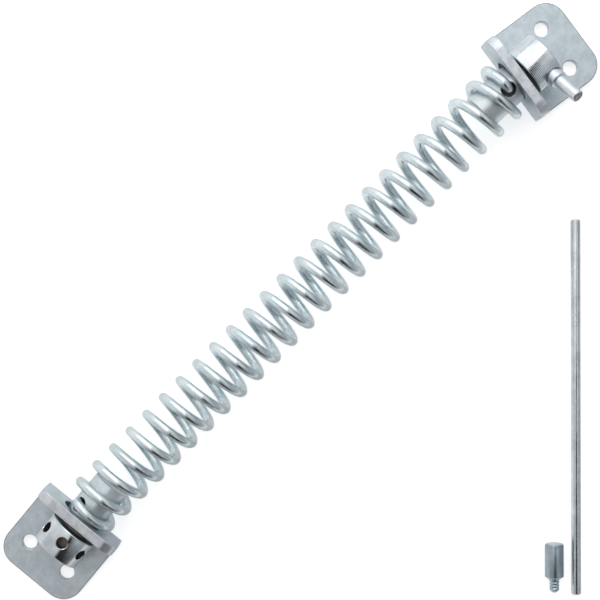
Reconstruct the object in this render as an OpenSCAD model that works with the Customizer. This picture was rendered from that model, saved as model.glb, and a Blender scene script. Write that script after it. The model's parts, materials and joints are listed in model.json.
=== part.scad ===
// Gate spring closer: a torsion spring between two angle brackets, with its tension rod and stop pin.
// Millimetres. +X runs along the spring from the post to the gate, +Z points out of the leaves.
// The origin is the middle of the post bracket's two screw holes, on the back of its leaf.

/* [Spring] */
// Diameter of the spring wire
wire_d = 3.5; // [3:0.1:4]
// Outer diameter of the coils
coil_d = 22; // [21:0.5:26]
// Distance from one coil to the next, middle to middle
pitch = 8.55; // [7:0.01:12]
// Whole turns between the two hooks
turns = 25; // [12:1:40]
// Turns over which the winding flattens towards the post hook
post_close = 0.4; // [0.2:0.1:1.5]
// Turns over which the winding flattens towards the gate hook
gate_close = 0.7; // [0.2:0.1:1.5]
// How far the middle coils lie towards the post, from uneven winding
winding_drift = 1.6; // [0:0.1:3]
// Inner radius of the bend at each hook
hook_inner_r = 0.85; // [0.6:0.05:1.2]
// Turn of the post hook from straight up, towards -Y
post_hook_turn = -42; // [-180:1:180]
// Turn of the gate hook from straight up, towards -Y
gate_hook_turn = 5; // [-180:1:180]

/* [Barrels] */
// Length of the head
head_l = 10.4; // [9:0.1:14]
// Width of the head's lip around the flange hole
head_lip = 1.2; // [0.6:0.1:4]
// Length of the shank from the head to its end
shank_l = 21; // [18:0.5:30]
// Chamfer at the edges of head and shank
barrel_chamfer = 0.3; // [0.2:0.1:1]
// Width of the groove between head and shank
groove_l = 2; // [1:0.1:2.5]
// Depth of that groove
groove_depth = 2; // [0.5:0.1:3]
// Number of tension holes around the post barrel's head
tension_holes = 6; // [3:1:6]
// Diameter of a tension hole
tension_d = 4.1; // [3.7:0.1:4.6]
// Distance of the tension holes from the head's inner face
tension_inset = 4.7; // [4.5:0.1:6]
// Lean of the post barrel in the coils, about the vertical
post_barrel_lean = 4; // [0:0.5:4]
// Lean of the gate barrel in the coils, about the vertical
gate_barrel_lean = 3; // [0:0.5:5]
// Distance from a hook into the coils to where a leaning barrel crosses the spring's axis
lean_inset = 6; // [4:0.5:7]

/* [Brackets] */
// Thickness of the plate
plate_t = 3.6; // [2:0.1:4]
// Width of leaf and flange
plate_w = 33.5; // [28:0.5:45]
// Leaf length beyond the middle of the screw holes
leaf_end = 10; // [7:0.5:20]
// Radius of the leaf's outer corners
leaf_corner_r = 7.6; // [1:0.1:9]
// Radius of the flange's upper corners
flange_corner_r = 5.5; // [1:0.1:9]
// Inner radius of the bend between leaf and flange
bend_r = 1.5; // [0.5:0.1:1.6]
// Metal between the flange hole and the flange's free edge
flange_rim = 2.2; // [1.5:0.1:8]
// Diameter of a screw hole
screw_d = 5.4; // [4:0.1:6]
// Distance between the two screw holes of a bracket
screw_spacing = 17.3; // [12:0.1:24]
// Lean of the post bracket beside the spring, about the vertical
post_lean = 5; // [0:0.5:9]
// Lean of the gate bracket beside the spring, about the vertical
gate_lean = 8.5; // [0:0.5:9]

/* [Stop pins] */
// Diameter of the gate stop pin
stop_d = 4.6; // [3.5:0.1:5]
// Length of the gate stop pin outside its collar
stop_l = 9.7; // [8:0.1:14]
// Diameter of the gate stop pin's collar
collar_d = 6.5; // [5.8:0.1:7]
// Height of that collar above the head
collar_h = 2.9; // [0.5:0.1:4]
// Depth of the gate stop pin's spigot in the head
spigot_l = 5; // [3:0.1:6]
// Distance of the gate stop pin from the head's inner face
stop_inset = 6.6; // [5:0.1:7]
// Turn of the gate stop pin from straight up, towards -Y
stop_turn = 60; // [-60:5:60]
// Diameter of the loose stop pin's body
loose_body_d = 6.8; // [5:0.1:8]
// Length of that body
loose_body_l = 13; // [8:0.5:16]
// Length of the loose stop pin's stud
loose_stud_l = 4.7; // [4:0.1:5.5]

/* [Tension rod] */
// Length of the rod
rod_l = 136; // [90:1:180]

/* [Where the loose pieces lie] */
// Middle of the rod along the spring, from the origin
rod_x = 172.5; // [100:0.5:250]
// Middle of the rod beside the spring's axis
rod_y = -99.5; // [-140:0.5:-80]
// Direction of the rod from +X
rod_turn = 45; // [0:0.5:90]
// Middle of the loose stop pin's shoulder along the spring, from the origin
loose_x = 122; // [60:0.5:180]
// Middle of that shoulder beside the spring's axis
loose_y = -138.4; // [-180:0.1:-100]
// Direction of the loose stop pin's stud from +X
loose_turn = 225; // [180:1:260]

/* [Clearances] */
// Running gap between pieces that turn on each other
fit = 0.3; // [0.2:0.05:0.5]
// Gap between the shank and the inside of the coils
shank_play = 0.7; // [0.7:0.05:1]
// Gap around the wire in its hook hole
hook_play = 0.9; // [0.8:0.05:1.1]
// Play of a barrel along its axis
end_play = 0.2; // [0.1:0.1:1]
// Gap around the rod in a tension hole
rod_play = 0.3; // [0.2:0.05:0.5]
// Gap around the loose pin's stud in a tension hole
stud_play = 0.2; // [0.1:0.05:0.4]
// Gap around a spigot that is pressed into its hole
press_play = 0.02; // [0.01:0.01:0.05]
// Gap between the coils and the surface that the leaves lie on
floor_gap = 2.3; // [1:0.1:6]
// Room between the head's end and a screw hole
screw_room = 2.9; // [1:0.1:8]

/* [Hidden] */
$fn = 96;
past = 1;

// Wire and hooks
wire_r = wire_d / 2;
coil_r = coil_d / 2;
wound_r = coil_r - wire_r;
hook_bend_r = wire_r + hook_inner_r;
hook_swing = asin(hook_bend_r / (wound_r - hook_bend_r));
hook_foot_r = (wound_r - hook_bend_r) * cos(hook_swing);
hook_end_r = hook_foot_r - wire_d;
hook_hole_d = wire_d + 2 * hook_play;
wound_turns = turns + (gate_hook_turn - post_hook_turn - 2 * hook_swing) / 360;
spring_l = pitch * (wound_turns - (post_close + gate_close) / 2);
rings_per_turn = 16;
rings_per_bend = 6;
wire_sides = 6;

// Barrels in the leaning flanges
post_tilt = abs(post_lean - post_barrel_lean);
gate_tilt = abs(gate_lean - gate_barrel_lean);
shank_d = coil_d - 2 * wire_d - 2 * shank_play;
flange_hole_d = 2 * max(hole_r(post_lean, post_barrel_lean, post_tilt),
    hole_r(gate_lean, gate_barrel_lean, gate_tilt));
head_d = flange_hole_d + 2 * head_lip;
post_set = flange_span(post_lean) + hook_set(post_lean);
gate_set = flange_span(gate_lean) + hook_set(gate_lean);
hook_inset = max(head_set(post_tilt) + post_set, head_set(gate_tilt) + gate_set) + end_play;
head_reach = hook_inset - min(post_set, gate_set) + head_l;

// Brackets
axis_z = coil_r + floor_gap;
flange_h = axis_z + flange_hole_d / 2 + flange_rim;
screw_set = head_reach + screw_room + screw_d / 2;
leaf_l = screw_set + leaf_end;
screw_reach = screw_set + plate_t / 2;

// Places along the spring
axis_y = screw_reach * sin(post_lean);
post_flange_x = screw_reach * cos(post_lean);
post_hook_x = post_flange_x + flange_span(post_lean) / 2 + hook_set(post_lean);
gate_hook_x = post_hook_x + spring_l;
gate_flange_x = gate_hook_x + hook_set(gate_lean) + flange_span(gate_lean) / 2;

// Pins and rod
rod_d = tension_d - 2 * rod_play;
loose_stud_d = tension_d - 2 * stud_play;
tension_depth = loose_stud_l + fit;
collar_seat_r = sqrt(pow(head_d / 2, 2) - pow(collar_d / 2 + fit, 2)) - fit;
collar_top_r = head_d / 2 + collar_h;
end_chamfer = 0.4;
loose_cone_l = 1;
loose_tip_l = 1;

// Axial distance from the flange to a hook, so that a leaning flange turns clear of the coils
function hook_set(lean) = wire_r + fit + coil_r * tan(lean);
// Axial distance from the flange to a head, so that a leaning flange turns clear of it
function head_set(lean) = head_d / 2 * tan(lean) + fit;
// Axial length of a leaning flange
function flange_span(lean) = plate_t / cos(lean);
// Distance of a leaning barrel from the middle of its flange, and the hole that lets it pass there
function bias(lean, barrel_lean) = (lean_inset + hook_set(lean) + flange_span(lean) / 2) * sin(barrel_lean);
function hole_r(lean, barrel_lean, tilt) =
    bias(lean, barrel_lean) + shank_d / 2 / cos(tilt) + plate_t / 2 * tan(tilt) + fit;

// Direction away from the axis at a turn from straight up, and the way that it swings
function rim(turn) = [0, -sin(turn), cos(turn)];
function swing(turn) = [0, -cos(turn), -sin(turn)];

// Winding that is done a number of turns after a flattened end, and its share of the full pitch there
function wound(done, close) =
    done < close ? close * (pow(done / close, 3) - pow(done / close, 4) / 2) : done - close / 2;
function slope(done, close) = done < close ? pow(done / close, 2) * (3 - 2 * done / close) : 1;

// Axial place of the winding a number of turns after the post hook
function wound_x(done) =
    (2 * done < wound_turns
        ? pitch * wound(done, post_close)
        : spring_l - pitch * wound(wound_turns - done, gate_close))
    - winding_drift * sin(180 * done / wound_turns);
function wound_slope(done) = pitch / 360 * min(slope(done, post_close), slope(wound_turns - done, gate_close));

// One ring of the wire: its middle, its direction away from the bend and its direction along the axis
function coil_ring(done) =
    let (turn = post_hook_turn + hook_swing + 360 * done)
    let (way = [wound_slope(done), 0, 0] + wound_r * PI / 180 * swing(turn))
    let (side = cross(rim(turn), way))
    [[wound_x(done), 0, 0] + wound_r * rim(turn), rim(turn), side / norm(side)];
function bend_ring(x, turn, hand, bend) =
    let (out = rim(turn), along = hand * swing(turn))
    let (away = sin(bend) * out - cos(bend) * along)
    [[x, 0, 0] + hook_foot_r * out + hook_bend_r * (along + away), away, [1, 0, 0]];
function foot_ring(x, turn, hand) = [[x, 0, 0] + hook_end_r * rim(turn), -hand * swing(turn), [1, 0, 0]];

wire_steps = round(wound_turns * rings_per_turn);
bend_sweep = 90 + hook_swing;
post_bend = [for (i = [0:rings_per_bend - 1]) bend_ring(0, post_hook_turn, 1, bend_sweep * i / rings_per_bend)];
gate_bend = [for (i = [rings_per_bend - 1:-1:0])
    bend_ring(spring_l, gate_hook_turn, -1, bend_sweep * i / rings_per_bend)];
coils = [for (i = [0:wire_steps]) coil_ring(wound_turns * i / wire_steps)];
wire_rings = concat([foot_ring(0, post_hook_turn, 1)], post_bend, coils, gate_bend,
    [foot_ring(spring_l, gate_hook_turn, -1)]);

// Least gap between one turn of the wire and the next
least_gap = min([for (i = [0:wire_steps - rings_per_turn / 2])
    for (j = [i + rings_per_turn / 2:min(i + 2 * rings_per_turn, wire_steps)])
        norm(coils[i][0] - coils[j][0])]) - wire_d;
echo(least_gap_between_turns = least_gap);

// A tube of triangles through the rings, closed at both ends
module wire_tube(rings) {
    last = len(rings) - 1;
    points = [for (ring = rings) for (k = [0:wire_sides - 1])
        let (spin = 360 * (k + 0.5) / wire_sides)
        ring[0] + wire_r * (cos(spin) * ring[1] + sin(spin) * ring[2])];
    walls = [for (i = [0:last - 1]) for (k = [0:wire_sides - 1])
        let (a = i * wire_sides + k, b = i * wire_sides + (k + 1) % wire_sides)
        each [[a, b, a + wire_sides], [b, b + wire_sides, a + wire_sides]]];
    tail = last * wire_sides;
    first_end = [for (k = [1:wire_sides - 2]) [0, k + 1, k]];
    last_end = [for (k = [1:wire_sides - 2]) [tail, tail + k, tail + k + 1]];
    polyhedron(points, concat(walls, first_end, last_end));
}

// A block that starts at a corner, with its far lower edge rounded
module rounded_heel(w, h, r) {
    translate([0, r])
        square([w, h - r]);
    square([w - r, r]);
    translate([w - r, r])
        circle(r);
}

// A block centred on x = 0 that stands on y = 0, with its upper corners rounded
module round_shouldered(w, h, r) {
    translate([-w / 2, 0])
        square([w, h - r]);
    translate([r - w / 2, 0])
        square([w - 2 * r, h]);
    for (side = [-1, 1])
        translate([side * (w / 2 - r), h - r])
            circle(r);
}

// A drilled hole or pin along the direction away from the axis
module radial(turn, from_r, to_r, d) {
    rotate([turn, 0, 0])
        translate([0, 0, from_r])
            cylinder(h = to_r - from_r, d = d);
}

// Places a piece on the axis of the spring
module on_axis(x) {
    translate([x, axis_y, axis_z])
        children();
}

// Places a piece on the axis of a leaning barrel, at a distance from its hook
module on_post_barrel(x) {
    on_axis(post_hook_x + lean_inset)
        rotate([0, 0, post_barrel_lean])
            translate([x - lean_inset, 0, 0])
                children();
}
module on_gate_barrel(x) {
    on_axis(gate_hook_x - lean_inset)
        rotate([0, 0, -gate_barrel_lean])
            translate([x + lean_inset, 0, 0])
                children();
}

// The bent plate, with the middle of its flange on x = 0 and its leaf towards -X
module bent_plate() {
    back_x = -plate_t / 2 - leaf_l;
    difference() {
        intersection() {
            rotate([90, 0, 0])
                linear_extrude(plate_w, center = true)
                    translate([back_x, 0])
                        difference() {
                            rounded_heel(leaf_l + plate_t, flange_h, bend_r + plate_t);
                            translate([-past, plate_t])
                                rounded_heel(leaf_l + past, flange_h, bend_r);
                        }
            translate([plate_t / 2, 0, -past])
                rotate([0, 0, 90])
                    linear_extrude(flange_h + 2 * past)
                        round_shouldered(plate_w, leaf_l + plate_t, leaf_corner_r);
            translate([back_x - past, 0, 0])
                rotate([90, 0, 90])
                    linear_extrude(leaf_l + plate_t + 2 * past)
                        round_shouldered(plate_w, flange_h, flange_corner_r);
        }
        for (side = [-1, 1])
            translate([-screw_reach, side * screw_spacing / 2, -past])
                cylinder(h = plate_t + 2 * past, d = screw_d);
        translate([-plate_t / 2 - past, 0, axis_z])
            rotate([0, 90, 0])
                cylinder(h = plate_t + 2 * past, d = flange_hole_d);
    }
}

// A turned barrel: the inner face of its head on x = 0, its shank towards +X
module turned_barrel() {
    c = barrel_chamfer;
    head_r = head_d / 2;
    shank_r = shank_d / 2;
    neck_r = shank_r - groove_depth;
    rotate([0, 90, 0])
        rotate_extrude()
            polygon([[0, -head_l], [head_r - c, -head_l], [head_r, c - head_l], [head_r, -c], [head_r - c, 0],
                [neck_r, 0], [neck_r, groove_l], [shank_r, groove_l], [shank_r, shank_l - c],
                [shank_r - c, shank_l], [0, shank_l]]);
}

// A stepped pin along +Z, as a list of [height, radius] from its foot
module turned_pin(outline) {
    rotate_extrude()
        polygon(concat([[0, outline[0][0]]], [for (step = outline) [step[1], step[0]]],
            [[0, outline[len(outline) - 1][0]]]));
}

module post_bracket() {
    color("#a9b3ba")
        translate([post_flange_x, axis_y, 0])
            rotate([0, 0, post_lean])
                bent_plate();
}

module gate_bracket() {
    color("#b9c3cb")
        translate([gate_flange_x, axis_y, 0])
            rotate([0, 0, 180 - gate_lean])
                bent_plate();
}

module post_barrel() {
    color("#c3c9cf")
        difference() {
            on_post_barrel(-hook_inset)
                turned_barrel();
            on_post_barrel(0)
                radial(post_hook_turn, hook_end_r - fit, head_d, hook_hole_d);
            on_post_barrel(-hook_inset - tension_inset)
                for (i = [0:tension_holes - 1])
                    radial(360 * i / tension_holes, head_d / 2 - tension_depth, head_d, tension_d);
        }
}

module gate_barrel() {
    color("#c3c9cf")
        difference() {
            on_gate_barrel(hook_inset)
                mirror([1, 0, 0])
                    turned_barrel();
            on_gate_barrel(0)
                radial(gate_hook_turn, hook_end_r - fit, head_d, hook_hole_d);
            on_gate_barrel(hook_inset + stop_inset) {
                radial(stop_turn, collar_seat_r - spigot_l - fit, head_d, stop_d + 2 * press_play);
                radial(stop_turn, collar_seat_r, head_d, collar_d + 2 * fit);
            }
        }
}

module torsion_spring() {
    color("#d5dde2")
        on_axis(post_hook_x)
            wire_tube(wire_rings);
}

module gate_stop_pin() {
    stop_r = stop_d / 2;
    collar_r = collar_d / 2;
    tip = collar_top_r + stop_l;
    c = end_chamfer;
    color("#d2d8de")
        on_gate_barrel(hook_inset + stop_inset)
            rotate([stop_turn, 0, 0])
                turned_pin([[collar_seat_r - spigot_l, stop_r], [collar_seat_r, stop_r], [collar_seat_r, collar_r],
                    [collar_top_r - c, collar_r], [collar_top_r, collar_r - c], [collar_top_r, stop_r],
                    [tip - c, stop_r], [tip, stop_r - c]]);
}

module tension_rod() {
    c = end_chamfer;
    rod_r = rod_d / 2;
    color("#c9ced2")
        translate([rod_x, axis_y + rod_y, rod_r])
            rotate([0, 90, rod_turn])
                turned_pin([[-rod_l / 2, rod_r - c], [c - rod_l / 2, rod_r], [rod_l / 2 - c, rod_r],
                    [rod_l / 2, rod_r - c]]);
}

module loose_stop_pin() {
    c = end_chamfer;
    body_r = loose_body_d / 2;
    stud_r = loose_stud_d / 2;
    color("#8d99a2")
        translate([loose_x, axis_y + loose_y, body_r])
            rotate([0, 90, loose_turn])
                turned_pin([[-loose_body_l, body_r - c], [c - loose_body_l, body_r], [-loose_cone_l, body_r],
                    [0, stud_r], [loose_stud_l - loose_tip_l, stud_r], [loose_stud_l, stud_r - loose_tip_l]]);
}

post_bracket();
post_barrel();
torsion_spring();
gate_barrel();
gate_stop_pin();
gate_bracket();
tension_rod();
loose_stop_pin();
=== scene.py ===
"""The looks of a gate spring closer, laid on a white floor beside its tension rod and loose stop pin."""

import json
import math

import bmesh
import bpy
from mathutils import Matrix, Vector


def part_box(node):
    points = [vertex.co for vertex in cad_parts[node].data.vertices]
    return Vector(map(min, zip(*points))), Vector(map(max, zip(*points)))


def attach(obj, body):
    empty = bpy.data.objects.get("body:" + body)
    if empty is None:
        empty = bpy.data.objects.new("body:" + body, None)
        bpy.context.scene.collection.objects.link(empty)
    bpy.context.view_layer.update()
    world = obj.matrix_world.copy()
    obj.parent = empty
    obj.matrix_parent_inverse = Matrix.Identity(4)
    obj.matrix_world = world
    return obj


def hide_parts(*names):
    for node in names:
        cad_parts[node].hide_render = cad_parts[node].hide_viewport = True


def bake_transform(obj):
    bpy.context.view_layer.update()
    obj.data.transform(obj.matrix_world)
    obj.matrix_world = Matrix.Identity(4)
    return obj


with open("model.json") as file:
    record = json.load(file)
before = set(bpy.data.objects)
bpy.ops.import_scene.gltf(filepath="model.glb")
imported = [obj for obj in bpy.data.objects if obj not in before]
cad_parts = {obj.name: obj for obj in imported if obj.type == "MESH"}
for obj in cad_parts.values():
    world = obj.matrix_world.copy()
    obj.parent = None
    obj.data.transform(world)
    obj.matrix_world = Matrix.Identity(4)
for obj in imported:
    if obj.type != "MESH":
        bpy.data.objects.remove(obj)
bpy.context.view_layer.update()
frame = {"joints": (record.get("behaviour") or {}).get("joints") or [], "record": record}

MM = 0.001
TAU = math.tau
WHITE = "#ffffff"
BLACK = "#000000"

# Camera, fitted to the screw holes, flanges, coil tips and pins in the photograph
CAMERA_PLACE = (135.4 * MM, 10.74 * MM, 566 * MM)
CAMERA_TURN = [math.radians(angle) for angle in (-1.12, -0.34, -45.32)]
CAMERA_LENS = 93.7
CAMERA_SENSOR = 36

# Softbox: its brightness grows along X from its post value to its gate value, between the two ends
SOFTBOX_PLACE = (0.012, 0.264, 0.46)
SOFTBOX_TURN = (math.radians(-40), 0, math.radians(20))
SOFTBOX_SIZE = (1.4, 0.9)
SOFTBOX_ENDS = (-0.15, 0.4)
SOFTBOX_POST = 0.61
SOFTBOX_GATE = 1.5

# Floor: its glow to the camera, and the weaker glow that metal mirrors, which grows along X between the two
# ends and is shaded along both sides of the spring and past the rod. A shade's pair of places is where it
# is nil and where it is full
FLOOR_SIZE = 6
FLOOR_PLACE = (0.13, 0, -0.05 * MM)
FLOOR_PAINT = "#f2f2f2"
FLOOR_GLOW = 0.62
FLOOR_ENDS = (0, 0.26)
FLOOR_GLOW_POST = 0.2
FLOOR_GLOW_GATE = 0.36
FLOOR_SHADE = 0.62
FRONT_SHADE_Y = (-0.008, -0.02)
FRONT_SHADE_END_Y = (-0.07, -0.045)
FRONT_SHADE_END_X = (0.23, 0.2)
BACK_SHADE = 0.3
BACK_SHADE_Y = (0.011, 0.014)
BACK_SHADE_END_Y = (0.06, 0.035)
PAST_ROD = (0.19, 0.194)
ACROSS_ROD = (0.702, -0.712, 0)

# Room, by direction: greys overhead at each end, pale low walls, a dimmer far side past the rod, and a dark
# gap beside the softbox. Each pair gives where a grey is nil and where it is full
ROOM_POST = "#6c6e70"
ROOM_GATE = "#e6e8ea"
ROOM_SLOPE = (-0.4, 0.4)
WALLS = "#fafcfd"
WALLS_SIDE = (-0.1, 0.5)
WALLS_RISE = (0.85, 0.45)
FAR_SIDE = "#a4a7ad"
FAR_SIDE_REACH = (0.5, 0.9)
ROOM_GAP = "#2b2624"
GAP_SLANT = -2.5
GAP_EDGE = (-0.72, -0.5)
GAP_RISE = (0.1, 0.35)
LEAST_RISE = 0.05

# Spring wire
WIRE_R = 1.75 * MM
COIL_R = 11 * MM
PITCH = 8.55 * MM
TURNS = 25
POST_CLOSE = 0.4
GATE_CLOSE = 0.7
WINDING_DRIFT = 1.6 * MM
HOOK_INNER_R = 0.85 * MM
POST_HOOK_TURN = math.radians(-42)
GATE_HOOK_TURN = math.radians(5)

# Barrels
HEAD_L = 10.4 * MM
SHANK_R = 6.8 * MM
SHANK_L = 21 * MM
GROOVE_L = 2 * MM
GROOVE_DEPTH = 2 * MM
BARREL_CHAMFER = 0.3 * MM
INNER_FACE_MARGIN = 0.03 * MM
TENSION_HOLES = 6
TENSION_R = 2.05 * MM
TENSION_DEPTH = 5 * MM
TENSION_INSET = 4.7 * MM
HOOK_HOLE_R = 2.65 * MM
HOOK_INSET = 8.711 * MM
LEAN_INSET = 6 * MM
POST_BARREL_LEAN = math.radians(4)
GATE_BARREL_LEAN = math.radians(-3)

# Brackets
PLATE_T = 3.6 * MM
PLATE_W = 33.5 * MM
LEAF_END = 10 * MM
LEAF_CORNER_R = 7.6 * MM
FLANGE_CORNER_R = 5.5 * MM
BEND_R = 1.5 * MM
FLANGE_HOLE_R = 7.907 * MM
SCREW_R = 2.7 * MM
SCREW_RIM_R = 1.2 * SCREW_R
SCREW_SPACING = 17.3 * MM
SCREW_REACH = 19.885 * MM
PUNCH_L = 3 * PLATE_T
POST_TURN = math.radians(5)
GATE_TURN = math.radians(171.5)

# Pins and rod
STOP_R = 2.3 * MM
STOP_L = 9.7 * MM
COLLAR_R = 3.25 * MM
COLLAR_H = 2.9 * MM
STOP_INSET = 6.6 * MM
STOP_TURN = math.radians(60)
LOOSE_BODY_R = 3.4 * MM
LOOSE_BODY_L = 13 * MM
LOOSE_STUD_R = 1.85 * MM
LOOSE_STUD_L = 4.7 * MM
LOOSE_CONE_L = 1 * MM
LOOSE_TURN = math.radians(225)
THREAD_PITCH = 1.05 * MM
THREAD_DEPTH = 0.4 * MM
ROD_R = 1.75 * MM
ROD_L = 136 * MM
ROD_TURN = math.radians(45)
END_CHAMFER = 0.4 * MM
END_FACE_MARGIN = END_CHAMFER / 4
FIT = 0.3 * MM

# Fineness of the meshes, widths of the eased edges, and the angles at which edges are eased or stay sharp
STEPS_PER_TURN = 48
STEPS_PER_BEND = 14
CORNER_STEPS = 14
THREAD_STEPS = 8
WIRE_RESOLUTION = 8
TURNED_SIDES = 128
LOOSE_SIDES = 96
FLANGE_HOLE_SIDES = 96
ROD_SIDES = 64
HOLE_SIDES = 64
TURNED_EASE = 0.12 * MM
TURNED_EASE_ANGLE = math.radians(20)
PLATE_EASE = 0.25 * MM
PLATE_EASE_ANGLE = math.radians(40)
HOLE_EASE = 0.2 * MM
SHARP_ANGLE = math.radians(35)
BARREL_SHARP_ANGLE = math.radians(25)
DRILL_CLEARANCE = 3 * MM
NEARLY = 0.001 * MM

# Second and third material of a piece
EDGE_SLOT = RECESS_SHADE_SLOT = END_SLOT = 1
RIM_SHADE_SLOT = SHANK_SLOT = 2

# Zinc finishes: darker tint, paler tint, roughness, and size of the clouds between the tints
PLATE_ZINC = ("#c5d0d6", "#d6dfe5", 0.48, 4 * MM)
EDGE_ZINC = ("#c3c9cf", "#dfe3e8", 0.34, 3 * MM)
# The leaf rim's tints are painted shade
RIM_SHADE_ZINC = ("#6a6d6f", "#868a8d", 0.45, 2 * MM)
# The faced end's tints are a painted reflection, paler than the loose pin's side
END_REFLECTION_ZINC = ("#bcc6cd", "#ccd4da", 0.4, 3 * MM)
CROPPED_ZINC = ("#82857f", "#b3b6b2", 0.5, 1 * MM)
# The recesses' tints are painted shade
RECESS_SHADE_ZINC = ("#6a6463", "#8a8583", 0.5, 2 * MM)
HEAD_ZINC = ("#ccd5d9", "#dfe6ea", 0.17, 6 * MM)
SHANK_ZINC = ("#ccd5d9", "#dfe6ea", 0.36, 6 * MM)
WIRE_ZINC = ("#d1dee2", "#e4edf0", 0.2, 9 * MM)
STOP_ZINC = ("#dbe2e9", "#eef3f8", 0.34, 8 * MM)
ROD_ZINC = ("#c9d0d3", "#e1e6e9", 0.22, 8 * MM)
LOOSE_ZINC = ("#98a5ae", "#b4c1ca", 0.31, 8 * MM)

# How much smoother and rougher than its roughness a patterned finish gets
PLATE_SATIN = (0.06, 0.06)
HEAD_SATIN = (0.07, 0.07)
SHANK_SATIN = (0.06, 0.06)
WIRE_SATIN = (0.05, 0.06)
BAR_SATIN = (0.05, 0.08)

# Strength of the tool's rings and of the die's lines
HEAD_RINGS = 0.5
SHANK_RINGS = 1
STOP_LINES = 0.1
ROD_LINES = 0.2
LOOSE_LINES = 0.5

# Marks in the finishes. Plating has a grain of about 0.1 mm, scores are about 0.15 mm apart, the tool's
# feed is about 0.2 mm and die lines are under 0.1 mm wide: all four are drawn larger so that they show
GRAIN = 0.55 * MM
GRAIN_RELIEF = 0.03 * MM
PIT_SPACING = 5.5 * MM
PIT_WEIGHT = 4
SCORE_W = 0.5 * MM
SCORE_L = 6 * MM
SCORE_RELIEF = 0.06 * MM
RING_SPACING = 0.6 * MM
RING_RELIEF = 0.03 * MM
PATCH = 1.2 * MM
WIRE_LINE_W = 0.35 * MM
WIRE_LINE_L = 30 * MM
WIRE_LINE_RELIEF = 0.13 * MM
BAR_LINE_W = 0.5 * MM
BAR_LINE_L = 14 * MM
BAR_LINE_RELIEF = 0.08 * MM

# Values of a texture between which a finish changes, and the radians to a metre of a wave texture of scale 1
CLOUD_SPAN = (0.35, 0.65)
GRAIN_SPAN = (0.25, 0.75)
LINE_SPAN = (0.3, 0.7)
PIT_SPAN = (0.03, 0.07)
WAVE_RATE = 20

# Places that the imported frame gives
joints = {joint["name"]: Vector(joint["pos_m"]) for joint in frame["joints"] if "pos_m" in joint}
mounts = {mount["name"]: Vector(mount["pos_m"]) for mount in frame["record"]["mounts"]}
AXIS = Vector((0, SCREW_REACH * math.sin(POST_TURN), joints["spring_twist"].z))
HEAD_R = (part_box("post_barrel")[1].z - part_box("post_barrel")[0].z) / 2
POST_HOOK_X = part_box("torsion_spring")[0].x + WIRE_R
GATE_HOOK_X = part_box("torsion_spring")[1].x - WIRE_R
FLANGE_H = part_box("post_bracket")[1].z
COLLAR_SEAT_R = math.sqrt(HEAD_R ** 2 - (COLLAR_R + FIT) ** 2) - FIT
COLLAR_TOP_R = HEAD_R + COLLAR_H

# Shape of the hooks and of the winding between them
WOUND_R = COIL_R - WIRE_R
HOOK_BEND_R = WIRE_R + HOOK_INNER_R
HOOK_SWING = math.asin(HOOK_BEND_R / (WOUND_R - HOOK_BEND_R))
HOOK_FOOT_R = (WOUND_R - HOOK_BEND_R) * math.cos(HOOK_SWING)
HOOK_END_R = HOOK_FOOT_R - 2 * WIRE_R
WOUND_TURNS = TURNS + (GATE_HOOK_TURN - POST_HOOK_TURN - 2 * HOOK_SWING) / TAU
WIRE_L = TAU * WOUND_R * WOUND_TURNS
SPRING_L = GATE_HOOK_X - POST_HOOK_X
POST_PIVOT = AXIS + Vector((POST_HOOK_X + LEAN_INSET, 0, 0))
GATE_PIVOT = AXIS + Vector((GATE_HOOK_X - LEAN_INSET, 0, 0))


# Nodes

def linear(code):
    """The linear colour of an sRGB hex value."""
    channels = [int(code[i:i + 2], 16) / 255 for i in (1, 3, 5)]
    return [c / 12.92 if c <= 0.04045 else ((c + 0.055) / 1.055) ** 2.4 for c in channels] + [1]


def add_node(tree, kind, inputs=None, **settings):
    """Add a node with its settings, and set or link its input sockets."""
    node = tree.nodes.new(kind)
    for name, value in settings.items():
        setattr(node, name, value)
    for name, value in (inputs or {}).items():
        if isinstance(value, bpy.types.NodeSocket):
            tree.links.new(value, node.inputs[name])
        else:
            node.inputs[name].default_value = value
    return node


def ramp(tree, value, span, low=0, high=1, kind="SMOOTHSTEP"):
    """A value that goes from low to high as another one crosses a span."""
    inputs = {"Value": value, "From Min": span[0], "From Max": span[1], "To Min": low, "To Max": high}
    return add_node(tree, "ShaderNodeMapRange", inputs, interpolation_type=kind).outputs["Result"]


def maths(tree, operation, *values):
    """The result of an operation on one to three values."""
    return add_node(tree, "ShaderNodeMath", dict(enumerate(values)), operation=operation).outputs["Value"]


def reach(tree, place, direction):
    """How far a place lies in a direction."""
    product = add_node(tree, "ShaderNodeVectorMath", {0: place, 1: direction}, operation="DOT_PRODUCT")
    return product.outputs["Value"]


def mix(tree, share, first, second):
    """Two colours mixed, with a share of the second."""
    return add_node(tree, "ShaderNodeMix", {0: share, 6: first, 7: second}, data_type="RGBA").outputs[2]


def noise(tree, place, detail, scale=1, roughness=0.5):
    """A noise over a place."""
    inputs = {"Vector": place, "Scale": scale, "Detail": detail, "Roughness": roughness}
    return add_node(tree, "ShaderNodeTexNoise", inputs).outputs["Fac"]


def mapped(tree, place, kind="POINT", **changes):
    """A place moved, turned or scaled."""
    inputs = {"Vector": place}
    for name, value in changes.items():
        inputs[name.capitalize()] = value
    return add_node(tree, "ShaderNodeMapping", inputs, vector_type=kind).outputs["Vector"]


def satin(tree, shader, pattern, span, smoother, rougher):
    """Let a pattern make a finish smoother and rougher than its plain roughness."""
    plain = shader.inputs["Roughness"].default_value
    varied = ramp(tree, pattern, span, plain - smoother, plain + rougher, "LINEAR")
    tree.links.new(varied, shader.inputs["Roughness"])


def relief(tree, shader, pattern, strength, depth):
    """Let a pattern stand out of a finish."""
    bump = add_node(tree, "ShaderNodeBump", {"Height": pattern, "Strength": strength, "Distance": depth})
    tree.links.new(bump.outputs["Normal"], shader.inputs["Normal"])


# Materials: every piece is steel under bright zinc plating with a thin blue passivation

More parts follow.
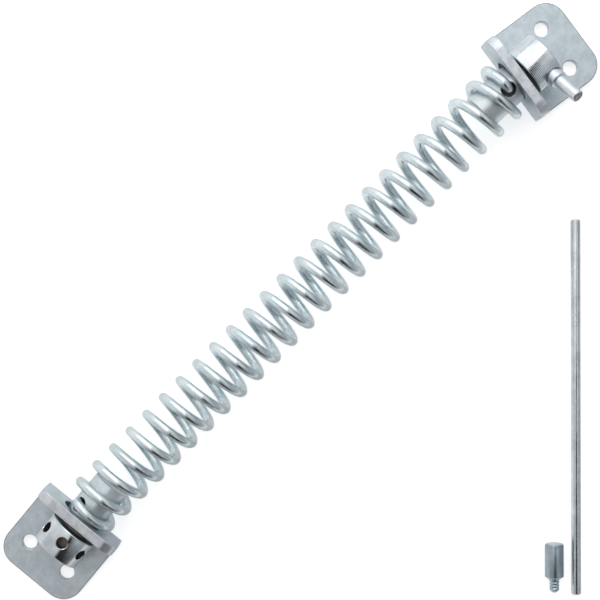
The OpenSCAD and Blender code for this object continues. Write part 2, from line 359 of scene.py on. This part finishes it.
def zinc_plating(name, dark, light, roughness, cloud):
    """Bright zinc over steel: a metal whose blue passivation clouds softly between two tints."""
    material = bpy.data.materials.new(name)
    material.use_nodes = True
    tree = material.node_tree
    shader = tree.nodes["Principled BSDF"]
    place = add_node(tree, "ShaderNodeTexCoord").outputs["Object"]
    clouds = noise(tree, place, detail=5, scale=1 / cloud, roughness=0.7)
    colour = mix(tree, ramp(tree, clouds, CLOUD_SPAN), linear(dark), linear(light))
    tree.links.new(colour, shader.inputs["Base Color"])
    shader.inputs["Metallic"].default_value = 1
    shader.inputs["Roughness"].default_value = roughness
    return material, tree, shader, place


def rolled_plate():
    """Zinc on cold-rolled sheet: a satin grey-blue face with fine grain and a few dull pits."""
    material, tree, shader, place = zinc_plating("zinc_on_rolled_plate", *PLATE_ZINC)
    grain = noise(tree, place, detail=2, scale=1 / GRAIN, roughness=0.6)
    satin(tree, shader, grain, GRAIN_SPAN, *PLATE_SATIN)
    pits = add_node(tree, "ShaderNodeTexVoronoi", {"Vector": place, "Scale": 1 / PIT_SPACING})
    pit_height = ramp(tree, pits.outputs["Distance"], PIT_SPAN, kind="LINEAR")
    height = maths(tree, "MULTIPLY_ADD", pit_height, PIT_WEIGHT, grain)
    relief(tree, shader, height, strength=0.25, depth=GRAIN_RELIEF)
    return material


def sheared_edge():
    """Zinc on a sheared edge: short scores through the thickness break up the reflection."""
    material, tree, shader, place = zinc_plating("zinc_on_sheared_edge", *EDGE_ZINC)
    stretched = mapped(tree, place, scale=(1 / SCORE_W, 1 / SCORE_W, 1 / SCORE_L))
    scores = noise(tree, stretched, detail=2)
    relief(tree, shader, scores, strength=0.35, depth=SCORE_RELIEF)
    return material


def painted_rim_shade():
    """Painted shade: a thin dark line round each leaf, where its eased edge mirrors the darker floor."""
    return zinc_plating("painted_shade_on_eased_edge", *RIM_SHADE_ZINC)[0]


def painted_reflection_end():
    """Zinc on a faced end: more even than the bar's drawn side, and painted paler as a painted reflection of
    the pale walls that it faces.
    """
    return zinc_plating("zinc_painted_paler_on_faced_end", *END_REFLECTION_ZINC)[0]


def cropped_end():
    """Thin zinc on a cropped end: the torn metal shows through as dull mottling."""
    return zinc_plating("thin_zinc_on_cropped_end", *CROPPED_ZINC)[0]


def painted_recess_shade():
    """Zinc in the drilled holes, the barrels' grooves and the heads' inner faces: dull, and painted dark
    brown as the shade that falls in these recesses.
    """
    return zinc_plating("zinc_with_painted_shade_in_recess", *RECESS_SHADE_ZINC)[0]


def turned_steel(name, zinc, satin_spread, ring_strength, pivot, lean):
    """Zinc on a turned surface: fine rings from the tool run round the leaning barrel."""
    material, tree, shader, place = zinc_plating(name, *zinc)
    centred = mapped(tree, place, kind="TEXTURE", location=pivot, rotation=(0, 0, lean))
    wave_scale = TAU / WAVE_RATE / RING_SPACING
    rings = add_node(tree, "ShaderNodeTexWave",
                     {"Vector": centred, "Scale": wave_scale, "Distortion": 1.5, "Detail": 2},
                     wave_type="BANDS", bands_direction="X")
    faces = add_node(tree, "ShaderNodeTexWave",
                     {"Vector": centred, "Scale": wave_scale, "Distortion": 0.4},
                     wave_type="RINGS", rings_direction="X")
    marks = maths(tree, "ADD", rings.outputs["Fac"], faces.outputs["Fac"])
    patches = noise(tree, place, detail=4, scale=1 / PATCH)
    satin(tree, shader, patches, LINE_SPAN, *satin_spread)
    relief(tree, shader, marks, ring_strength, RING_RELIEF)
    return material


def spring_wire():
    """Zinc on hard-drawn wire: bright and smooth, with faint die lines along its length."""
    material, tree, shader, _ = zinc_plating("zinc_on_spring_wire", *WIRE_ZINC)
    on_wire = add_node(tree, "ShaderNodeUVMap", uv_map="UVMap").outputs["UV"]
    stretched = mapped(tree, on_wire, scale=(WIRE_L / WIRE_LINE_L, TAU * WIRE_R / WIRE_LINE_W, 1))
    lines = noise(tree, stretched, detail=2)
    satin(tree, shader, lines, LINE_SPAN, *WIRE_SATIN)
    relief(tree, shader, lines, strength=1, depth=WIRE_LINE_RELIEF)
    return material


def drawn_bar(name, zinc, turn, line_strength):
    """Zinc on drawn bar: long streaks run level at a turn from +X, as the rod and the loose pin lie."""
    material, tree, shader, place = zinc_plating(name, *zinc)
    lengthwise = mapped(tree, place, rotation=(0, 0, -turn))
    stretched = mapped(tree, lengthwise, scale=(1 / BAR_LINE_L, 1 / BAR_LINE_W, 1 / BAR_LINE_W))
    streaks = noise(tree, stretched, detail=3)
    satin(tree, shader, streaks, LINE_SPAN, *BAR_SATIN)
    relief(tree, shader, streaks, line_strength, BAR_LINE_RELIEF)
    return material


# Modelling

def active(piece):
    """Make one object the only selected one, and the active one."""
    bpy.ops.object.select_all(action="DESELECT")
    piece.select_set(True)
    bpy.context.view_layer.objects.active = piece


def start(add_primitive, name, **sizes):
    """Deselect everything, add a primitive and name it."""
    bpy.ops.object.select_all(action="DESELECT")
    add_primitive(**sizes)
    bpy.context.object.name = name
    return bpy.context.object


def pick_verts(test):
    """In edit mode, select only the vertices whose place passes the test."""
    bpy.ops.mesh.select_mode(type="VERT")
    bpy.ops.mesh.select_all(action="DESELECT")
    mesh = bpy.context.object.data
    shell = bmesh.from_edit_mesh(mesh)
    for vert in shell.verts:
        vert.select_set(test(vert.co))
    shell.select_flush(True)
    bmesh.update_edit_mesh(mesh)


def change(piece, kind, **settings):
    """Add a modifier to a piece and apply it."""
    active(piece)
    modifier = piece.modifiers.new(kind.lower(), kind)
    for name, value in settings.items():
        setattr(modifier, name, value)
    bpy.ops.object.modifier_apply(modifier=modifier.name)


def cut(piece, cutter):
    """Cut one object out of a piece, keeping the cutter's own finish on the cut faces."""
    change(piece, "BOOLEAN", operation="DIFFERENCE", solver="EXACT", object=cutter,
           material_mode="TRANSFER")
    bpy.data.objects.remove(cutter)


def put(piece, place):
    """Carry a piece to its place, and keep that place in its mesh."""
    active(piece)
    piece.matrix_world = place @ piece.matrix_world
    bpy.ops.object.transform_apply(location=True, rotation=True, scale=True)


def smooth(piece, angle=SHARP_ANGLE):
    """Shade a piece smooth, apart from its sharp edges."""
    active(piece)
    bpy.ops.object.shade_smooth_by_angle(angle=angle)


def dress(piece, node, body):
    """Let a piece stand for a CAD node and ride on its body."""
    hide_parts(node)
    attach(piece, body)


def turned(name, outline, material, sides=TURNED_SIDES, ease=TURNED_EASE):
    """A turned piece along +Z from (height, radius) pairs: a disc drawn out by steps, its edges eased."""
    height, radius = outline[0]
    piece = start(bpy.ops.mesh.primitive_circle_add, name, vertices=sides, radius=radius,
                  fill_type="NGON", location=(0, 0, height))
    bpy.ops.object.mode_set(mode="EDIT")
    for next_height, next_radius in outline[1:]:
        bpy.ops.mesh.extrude_region_move(TRANSFORM_OT_translate={"value": (0, 0, next_height - height)})
        share = next_radius / radius
        bpy.ops.transform.resize(value=(share, share, 1), center_override=(0, 0, next_height))
        height, radius = next_height, next_radius
    bpy.ops.mesh.select_all(action="SELECT")
    bpy.ops.mesh.normals_make_consistent(inside=False)
    bpy.ops.object.mode_set(mode="OBJECT")
    bpy.ops.object.transform_apply(location=True, rotation=True, scale=True)
    piece.data.materials.append(material)
    if ease:
        change(piece, "BEVEL", width=ease, segments=2, limit_method="ANGLE", angle_limit=TURNED_EASE_ANGLE)
    return piece


def along(point, direction):
    """The place that carries +Z to a direction at a point."""
    return Matrix.Translation(point) @ direction.to_track_quat("Z", "Y").to_matrix().to_4x4()


def on_barrel(pivot, lean, x):
    """A place on the axis of a leaning barrel, at a distance from where it crosses the spring's axis."""
    return Matrix.Translation(pivot) @ Matrix.Rotation(lean, 4, "Z") @ Matrix.Translation((x, 0, 0))


def rim(turn):
    """Direction away from the spring's axis at a turn from straight up, towards -Y."""
    return Vector((0, -math.sin(turn), math.cos(turn)))


def swing(turn):
    """The way that the rim swings as the turn grows."""
    return Vector((0, -math.cos(turn), -math.sin(turn)))


def radial_drill(name, place, turn, radius, bottom, surface_r, steel, recess_shade):
    """A drill that stands on the axis of a barrel, flared where it leaves the round to break the edge."""
    ease = HOLE_EASE
    flare_r = radius + 2 * ease
    drill = turned(name, [(bottom, radius), (surface_r - ease, radius), (surface_r + ease, flare_r),
                          (surface_r + DRILL_CLEARANCE, flare_r)], steel, HOLE_SIDES, ease=0)
    drill.data.materials.append(recess_shade)
    # The drill's walls give the hole its painted shade
    for face in drill.data.polygons:
        if face.center.z < surface_r - ease:
            face.material_index = RECESS_SHADE_SLOT
    for vert in drill.data.vertices:
        if vert.co.z > surface_r - 2 * ease:
            vert.co.z -= surface_r - math.sqrt(surface_r ** 2 - vert.co.y ** 2)
    put(drill, place @ Matrix.Rotation(turn, 4, "X"))
    return drill


# Pieces

def pressed_bracket(name, screws, turn, plate, edge, rim_shade_paint):
    """A pressed angle: a strip bent up at its heel, thickened, pierced and eased along its edges."""
    leaf_l = SCREW_REACH - PLATE_T / 2 + LEAF_END
    back_x = -PLATE_T / 2 - leaf_l
    bend_x = -PLATE_T / 2 - BEND_R
    bend_z = PLATE_T + BEND_R
    flat_l = bend_x - back_x
    piece = start(bpy.ops.mesh.primitive_plane_add, name, size=1,
                  location=(back_x + flat_l / 2, 0, PLATE_T / 2))
    piece.scale = (flat_l, PLATE_W, 1)
    bpy.ops.object.transform_apply(location=True, rotation=True, scale=True)
    bpy.ops.object.mode_set(mode="EDIT")
    pick_verts(lambda at: at.x > bend_x - NEARLY)
    bpy.ops.mesh.spin(steps=CORNER_STEPS, angle=math.pi / 2, center=(bend_x, 0, bend_z), axis=(0, 1, 0))
    pick_verts(lambda at: at.x > -NEARLY)
    bpy.ops.mesh.extrude_region_move(TRANSFORM_OT_translate={"value": (0, 0, FLANGE_H - bend_z)})
    pick_verts(lambda at: at.x < back_x + NEARLY)
    bpy.ops.mesh.bevel(offset=LEAF_CORNER_R, segments=CORNER_STEPS, affect="VERTICES",
                       clamp_overlap=False)
    pick_verts(lambda at: at.z > FLANGE_H - NEARLY)
    bpy.ops.mesh.bevel(offset=FLANGE_CORNER_R, segments=CORNER_STEPS, affect="VERTICES",
                       clamp_overlap=False)
    bpy.ops.mesh.select_all(action="SELECT")
    bpy.ops.mesh.normals_make_consistent(inside=False)
    bpy.ops.object.mode_set(mode="OBJECT")
    for finish in (plate, edge, rim_shade_paint):
        piece.data.materials.append(finish)
    change(piece, "SOLIDIFY", thickness=PLATE_T, offset=0, use_even_offset=True,
           material_offset_rim=EDGE_SLOT)
    for side in (-1, 1):
        punch = start(bpy.ops.mesh.primitive_cylinder_add, "screw_punch", vertices=HOLE_SIDES,
                      radius=SCREW_R, depth=PUNCH_L,
                      location=(-SCREW_REACH, side * SCREW_SPACING / 2, PLATE_T / 2))
        punch.data.materials.append(edge)
        cut(piece, punch)
    punch = start(bpy.ops.mesh.primitive_cylinder_add, "flange_punch", vertices=FLANGE_HOLE_SIDES,
                  radius=FLANGE_HOLE_R, depth=PUNCH_L,
                  location=(0, 0, AXIS.z), rotation=(0, math.pi / 2, 0))
    punch.data.materials.append(edge)
    cut(piece, punch)
    # The eased edges are painted dark as shade, which is then kept to the leaf's outline
    change(piece, "BEVEL", width=PLATE_EASE, segments=3, limit_method="ANGLE", angle_limit=PLATE_EASE_ANGLE,
           use_clamp_overlap=False, material=RIM_SHADE_SLOT)
    # The painted shade shows along the leaf's outline alone, not on the flange or round the screw holes
    for face in piece.data.polygons:
        from_screw = Vector((face.center.x + SCREW_REACH, abs(face.center.y) - SCREW_SPACING / 2)).length
        without_rim_shade = face.center.z > PLATE_T + NEARLY or from_screw < SCREW_RIM_R
        if face.material_index == RIM_SHADE_SLOT and without_rim_shade:
            face.material_index = EDGE_SLOT
    screws_at_origin = Matrix.Translation((SCREW_REACH, 0, 0))
    put(piece, Matrix.Translation(screws) @ Matrix.Rotation(turn, 4, "Z") @ screws_at_origin)
    smooth(piece)
    change(piece, "WEIGHTED_NORMAL", keep_sharp=True)
    return piece


def barrel_outline():
    """A barrel from the outer end of its head to the end of its shank, the head's inner face at 0."""
    c = BARREL_CHAMFER
    neck_r = SHANK_R - GROOVE_DEPTH
    return [(-HEAD_L, HEAD_R - c), (c - HEAD_L, HEAD_R), (-c, HEAD_R), (0, HEAD_R - c), (0, neck_r),
            (GROOVE_L, neck_r), (GROOVE_L, SHANK_R), (SHANK_L - c, SHANK_R), (SHANK_L, SHANK_R - c)]


def turned_barrel(name, steel, shank, recess_shade):
    """A plain barrel: its shank satin, and its groove and the head's inner face painted dark as shade, as
    the holes are.
    """
    piece = turned(name, barrel_outline(), steel)
    piece.data.materials.append(recess_shade)
    piece.data.materials.append(shank)
    # The groove and the head's inner face take the painted shade
    for face in piece.data.polygons:
        if face.center.z > GROOVE_L - BARREL_CHAMFER:
            face.material_index = SHANK_SLOT
        elif face.center.z > -INNER_FACE_MARGIN:
            face.material_index = RECESS_SHADE_SLOT
    return piece


def post_barrel(steel, shank, recess_shade):
    """The barrel that is wound up, with its ring of tension holes."""
    piece = turned_barrel("turned_post_barrel", steel, shank, recess_shade)
    head_x = -LEAN_INSET - HOOK_INSET
    put(piece, on_barrel(POST_PIVOT, POST_BARREL_LEAN, head_x) @ along(Vector(), Vector((1, 0, 0))))
    row = on_barrel(POST_PIVOT, POST_BARREL_LEAN, head_x - TENSION_INSET)
    for i in range(TENSION_HOLES):
        cut(piece, radial_drill("tension_drill", row, TAU * i / TENSION_HOLES, TENSION_R,
                                HEAD_R - TENSION_DEPTH, HEAD_R, steel, recess_shade))
    at_hook = on_barrel(POST_PIVOT, POST_BARREL_LEAN, -LEAN_INSET)
    cut(piece, radial_drill("hook_drill", at_hook, POST_HOOK_TURN, HOOK_HOLE_R, HOOK_END_R - FIT, SHANK_R,
                            steel, recess_shade))
    smooth(piece, BARREL_SHARP_ANGLE)
    return piece


def gate_barrel(steel, shank, recess_shade):
    """The barrel that carries the fixed stop pin, with a spot-faced seat for the pin's collar."""
    piece = turned_barrel("turned_gate_barrel", steel, shank, recess_shade)
    head_x = LEAN_INSET + HOOK_INSET
    put(piece, on_barrel(GATE_PIVOT, GATE_BARREL_LEAN, head_x) @ along(Vector(), Vector((-1, 0, 0))))
    at_hook = on_barrel(GATE_PIVOT, GATE_BARREL_LEAN, LEAN_INSET)
    cut(piece, radial_drill("hook_drill", at_hook, GATE_HOOK_TURN, HOOK_HOLE_R, HOOK_END_R - FIT, SHANK_R,
                            steel, recess_shade))
    seat_r = COLLAR_R + FIT
    seat = turned("seat_cutter", [(COLLAR_SEAT_R, seat_r), (2 * HEAD_R, seat_r)], steel, HOLE_SIDES, ease=0)
    at_stop = on_barrel(GATE_PIVOT, GATE_BARREL_LEAN, head_x + STOP_INSET)
    put(seat, at_stop @ along(Vector(), rim(STOP_TURN)))
    cut(piece, seat)
    smooth(piece, BARREL_SHARP_ANGLE)
    return piece


def gate_stop_pin(steel, end):
    """The fixed pin: a collar on its seat and a thinner pin that the leaf stops against."""
    tip = COLLAR_TOP_R + STOP_L
    c = END_CHAMFER
    piece = turned("pressed_in_stop_pin", [
        (COLLAR_SEAT_R, COLLAR_R), (COLLAR_TOP_R - c, COLLAR_R), (COLLAR_TOP_R, COLLAR_R - c),
        (COLLAR_TOP_R, STOP_R), (tip - c, STOP_R), (tip, STOP_R - c)], steel)
    piece.data.materials.append(end)
    for face in piece.data.polygons:
        if face.center.z > tip - END_FACE_MARGIN:
            face.material_index = END_SLOT
    at_stop = on_barrel(GATE_PIVOT, GATE_BARREL_LEAN, LEAN_INSET + HOOK_INSET + STOP_INSET)
    put(piece, at_stop @ along(Vector(), rim(STOP_TURN)))
    smooth(piece)
    return piece


def wound(done, close):
    """Turns of full pitch made, some turns after an end; near it the pitch grows by a smoothstep."""
    share = done / close
    return close * (share ** 3 - share ** 4 / 2) if done < close else done - close / 2


def coil_point(done):
    """A point of the winding, a number of turns after the post hook's bend."""
    if 2 * done < WOUND_TURNS:
        x = PITCH * wound(done, POST_CLOSE)
    else:
        x = SPRING_L - PITCH * wound(WOUND_TURNS - done, GATE_CLOSE)
    x -= WINDING_DRIFT * math.sin(math.pi * done / WOUND_TURNS)
    return Vector((POST_HOOK_X + x, 0, 0)) + WOUND_R * rim(POST_HOOK_TURN + HOOK_SWING + TAU * done)


def hook_points(x, turn, hand):
    """A hook from its foot inside the barrel, round its bend, to where the winding starts."""
    foot = Vector((x, 0, 0))
    points = [foot + HOOK_END_R * rim(turn)]
    for i in range(STEPS_PER_BEND):
        bend = (math.pi / 2 + HOOK_SWING) * i / STEPS_PER_BEND
        sideways = hand * swing(turn)
        away = math.sin(bend) * rim(turn) - math.cos(bend) * sideways
        points.append(foot + HOOK_FOOT_R * rim(turn) + HOOK_BEND_R * (sideways + away))
    return points


def wound_spring(steel):
    """One length of wire, hooked at both ends and wound right-handed between them."""
    steps = round(WOUND_TURNS * STEPS_PER_TURN)
    coils = [coil_point(WOUND_TURNS * i / steps) for i in range(steps + 1)]
    route = (hook_points(POST_HOOK_X, POST_HOOK_TURN, 1) + coils
             + hook_points(GATE_HOOK_X, GATE_HOOK_TURN, -1)[::-1])
    piece = start(bpy.ops.curve.primitive_nurbs_path_add, "wound_spring")
    piece.data.splines.clear()
    spline = piece.data.splines.new("POLY")
    spline.points.add(len(route) - 1)
    for point, place in zip(spline.points, route):
        point.co = (*(AXIS + place), 1)
    piece.data.bevel_depth = WIRE_R
    piece.data.bevel_resolution = WIRE_RESOLUTION
    piece.data.use_fill_caps = True
    piece.data.materials.append(steel)
    active(piece)
    bpy.ops.object.convert(target="MESH")
    piece = bpy.context.object
    bpy.ops.object.shade_smooth()
    return piece


def tension_rod(steel):
    """The straight rod that winds the post barrel."""
    lowest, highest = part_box("tension_rod")
    c = END_CHAMFER
    half_l = ROD_L / 2
    piece = turned("drawn_tension_rod", [(-half_l, ROD_R - c), (c - half_l, ROD_R), (half_l - c, ROD_R),
                                         (half_l, ROD_R - c)], steel, ROD_SIDES)
    way = Vector((math.cos(ROD_TURN), math.sin(ROD_TURN), 0))
    put(piece, along((lowest + highest) / 2, way))
    smooth(piece)
    return piece


def loose_stop_pin(steel, end):
    """The loose pin: a plain body, a coned shoulder and a threaded stud with a coned tip."""
    lowest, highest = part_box("loose_stop_pin")
    c = END_CHAMFER
    tip = LOOSE_STUD_L - LOOSE_CONE_L
    rings = round(tip / THREAD_PITCH * THREAD_STEPS)
    stud = [(tip * i / rings, LOOSE_STUD_R) for i in range(rings + 1)]
    piece = turned("turned_loose_pin", [
        (-LOOSE_BODY_L, LOOSE_BODY_R - c), (c - LOOSE_BODY_L, LOOSE_BODY_R), (-LOOSE_CONE_L, LOOSE_BODY_R),
        *stud, (LOOSE_STUD_L, LOOSE_STUD_R - LOOSE_CONE_L)], steel, LOOSE_SIDES)
    piece.data.materials.append(end)
    # The faced end takes the paler finish, its painted reflection
    for face in piece.data.polygons:
        if face.center.z < END_FACE_MARGIN - LOOSE_BODY_L:
            face.material_index = END_SLOT
    for vert in piece.data.vertices:
        if 0 < vert.co.z < tip:
            phase = (vert.co.z / THREAD_PITCH - math.atan2(vert.co.y, vert.co.x) / TAU) % 1
            run_in = min(1, vert.co.z / THREAD_PITCH)
            groove = run_in * THREAD_DEPTH * (1 - abs(2 * phase - 1))
            vert.co.xy *= 1 - groove / LOOSE_STUD_R
    way = Vector((math.cos(LOOSE_TURN), math.sin(LOOSE_TURN), 0))
    middle = (lowest + highest) / 2
    put(piece, along(middle - way * (LOOSE_STUD_L - LOOSE_BODY_L) / 2, way))
    smooth(piece)
    return piece


# Floor, light and camera

def white_floor():
    """A white floor that melts into the background and keeps a soft shadow; the metal mirrors it dimmer."""
    material = bpy.data.materials.new("white_floor")
    material.use_nodes = True
    tree = material.node_tree
    tree.nodes.clear()
    path = add_node(tree, "ShaderNodeLightPath").outputs
    ground = add_node(tree, "ShaderNodeNewGeometry").outputs["Position"]
    spot = add_node(tree, "ShaderNodeSeparateXYZ", {"Vector": ground}).outputs
    mirrored = ramp(tree, spot["X"], FLOOR_ENDS, FLOOR_GLOW_POST, FLOOR_GLOW_GATE, "LINEAR")
    front = ramp(tree, spot["Y"], FRONT_SHADE_Y)
    front = ramp(tree, spot["Y"], FRONT_SHADE_END_Y, high=front)
    front = ramp(tree, spot["X"], FRONT_SHADE_END_X, high=front)
    back = ramp(tree, spot["Y"], BACK_SHADE_Y, high=BACK_SHADE)
    back = ramp(tree, spot["Y"], BACK_SHADE_END_Y, high=back)
    past_rod = ramp(tree, reach(tree, ground, ACROSS_ROD), PAST_ROD)
    shade = maths(tree, "MAXIMUM", maths(tree, "MAXIMUM", front, back), past_rod)
    mirrored_shade = maths(tree, "MULTIPLY", shade, path["Is Glossy Ray"])
    dimming = ramp(tree, mirrored_shade, (0, 1), 1, FLOOR_SHADE, "LINEAR")
    dimmed = maths(tree, "MULTIPLY", mirrored, dimming)
    in_metal = maths(tree, "MULTIPLY", path["Is Glossy Ray"], dimmed)
    glow = maths(tree, "MULTIPLY_ADD", path["Is Camera Ray"], FLOOR_GLOW, in_metal)
    light = add_node(tree, "ShaderNodeEmission", {"Color": linear(WHITE), "Strength": glow})
    paint = mix(tree, dimming, linear(BLACK), linear(FLOOR_PAINT))
    matt = add_node(tree, "ShaderNodeBsdfDiffuse", {"Color": paint})
    both = add_node(tree, "ShaderNodeAddShader", {0: light.outputs["Emission"], 1: matt.outputs["BSDF"]})
    add_node(tree, "ShaderNodeOutputMaterial", {"Surface": both.outputs["Shader"]})
    floor = start(bpy.ops.mesh.primitive_plane_add, "floor", size=FLOOR_SIZE, location=FLOOR_PLACE)
    floor.data.materials.append(material)


def studio_world():
    """A grey studio, paler past the gate end, with pale low walls and a dimmer far side past the rod.

    Beside the softbox it has a dark gap overhead, as far as a slanted edge towards the gate end.
    """
    world = bpy.data.worlds.new("studio")
    bpy.context.scene.world = world
    world.use_nodes = True
    tree = world.node_tree
    tree.nodes.clear()
    sky = add_node(tree, "ShaderNodeTexCoord").outputs["Generated"]
    way = add_node(tree, "ShaderNodeSeparateXYZ", {"Vector": sky}).outputs
    up = maths(tree, "MAXIMUM", way["Z"], LEAST_RISE)
    lengthwise = maths(tree, "DIVIDE", way["X"], up)
    across = maths(tree, "DIVIDE", way["Y"], up)
    room = mix(tree, ramp(tree, lengthwise, ROOM_SLOPE), linear(ROOM_POST), linear(ROOM_GATE))
    wall_side = maths(tree, "ADD", maths(tree, "ABSOLUTE", way["X"]), way["Y"])
    walls = mix(tree, ramp(tree, wall_side, WALLS_SIDE), room, linear(WALLS))
    around = mix(tree, ramp(tree, way["Z"], WALLS_RISE), room, walls)
    far = ramp(tree, reach(tree, sky, ACROSS_ROD), FAR_SIDE_REACH)
    sides = mix(tree, far, around, linear(FAR_SIDE))
    gap_edge = maths(tree, "MULTIPLY_ADD", lengthwise, GAP_SLANT, across)
    gap = maths(tree, "MULTIPLY", ramp(tree, gap_edge, GAP_EDGE), ramp(tree, way["Z"], GAP_RISE))
    dimmed = mix(tree, gap, sides, linear(ROOM_GAP))
    studio = add_node(tree, "ShaderNodeBackground", {"Color": dimmed, "Strength": 1})
    white = add_node(tree, "ShaderNodeBackground", {"Color": linear(WHITE), "Strength": 1})
    path = add_node(tree, "ShaderNodeLightPath").outputs
    shown = add_node(tree, "ShaderNodeMixShader",
                     {0: path["Is Camera Ray"], 1: studio.outputs["Background"],
                      2: white.outputs["Background"]})
    add_node(tree, "ShaderNodeOutputWorld", {"Surface": shown.outputs["Shader"]})


def softbox():
    """One large softbox on the spring's +Y side, brighter at its gate end, that reaches almost overhead."""
    box = start(bpy.ops.object.light_add, "softbox", type="AREA", location=SOFTBOX_PLACE,
                rotation=SOFTBOX_TURN)
    box.data.shape = "RECTANGLE"
    box.data.size, box.data.size_y = SOFTBOX_SIZE
    box.data.energy = math.pi * box.data.size * box.data.size_y
    box.data.use_nodes = True
    tree = box.data.node_tree
    tree.nodes.clear()
    place = add_node(tree, "ShaderNodeNewGeometry").outputs["Position"]
    spot = add_node(tree, "ShaderNodeSeparateXYZ", {"Vector": place}).outputs
    bright = ramp(tree, spot["X"], SOFTBOX_ENDS, SOFTBOX_POST, SOFTBOX_GATE, "LINEAR")
    light = add_node(tree, "ShaderNodeEmission", {"Color": linear(WHITE), "Strength": bright})
    add_node(tree, "ShaderNodeOutputLight", {"Surface": light.outputs["Emission"]})
    box.visible_camera = False


def photo_camera():
    """The camera, straight above the spring and turned so that the spring runs corner to corner."""
    camera = start(bpy.ops.object.camera_add, "camera", location=CAMERA_PLACE, rotation=CAMERA_TURN)
    camera.data.lens = CAMERA_LENS
    camera.data.sensor_width = CAMERA_SENSOR
    bpy.context.scene.camera = camera


plate = rolled_plate()
edge = sheared_edge()
# Painted shade along the leaves' eased rims
rim_shade = painted_rim_shade()
# Painted shade in the holes, the grooves and the heads' inner faces
recess_shade = painted_recess_shade()

bracket = pressed_bracket("pressed_post_bracket", mounts["post_screws"], POST_TURN, plate, edge, rim_shade)
dress(bracket, "post_bracket", "post_bracket")
bracket = pressed_bracket("pressed_gate_bracket", mounts["gate_screws"], GATE_TURN, plate, edge, rim_shade)
dress(bracket, "gate_bracket", "gate_bracket")

head = turned_steel("zinc_on_turned_post_head", HEAD_ZINC, HEAD_SATIN, HEAD_RINGS,
                    POST_PIVOT, POST_BARREL_LEAN)
shank = turned_steel("zinc_on_turned_post_shank", SHANK_ZINC, SHANK_SATIN, SHANK_RINGS,
                     POST_PIVOT, POST_BARREL_LEAN)
dress(post_barrel(head, shank, recess_shade), "post_barrel", "post_barrel")
head = turned_steel("zinc_on_turned_gate_head", HEAD_ZINC, HEAD_SATIN, HEAD_RINGS,
                    GATE_PIVOT, GATE_BARREL_LEAN)
shank = turned_steel("zinc_on_turned_gate_shank", SHANK_ZINC, SHANK_SATIN, SHANK_RINGS,
                     GATE_PIVOT, GATE_BARREL_LEAN)
dress(gate_barrel(head, shank, recess_shade), "gate_barrel", "gate_barrel")

stop_finish = drawn_bar("zinc_on_stop_pin", STOP_ZINC, 0, STOP_LINES)
dress(gate_stop_pin(stop_finish, cropped_end()), "gate_stop_pin", "gate_barrel")
rod_finish = drawn_bar("zinc_on_drawn_rod", ROD_ZINC, ROD_TURN, ROD_LINES)
dress(tension_rod(rod_finish), "tension_rod", "tension_rod")
# The loose pin's faced end is painted paler, as a painted reflection
loose_finish = drawn_bar("dull_zinc_on_loose_pin", LOOSE_ZINC, ROD_TURN, LOOSE_LINES)
dress(loose_stop_pin(loose_finish, painted_reflection_end()), "loose_stop_pin", "loose_stop_pin")

spring = wound_spring(spring_wire())
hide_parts("torsion_spring")
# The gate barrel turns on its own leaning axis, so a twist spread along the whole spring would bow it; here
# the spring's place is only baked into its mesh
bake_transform(spring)

white_floor()
studio_world()
softbox()
photo_camera()
bpy.context.scene.view_settings.view_transform = "Standard"
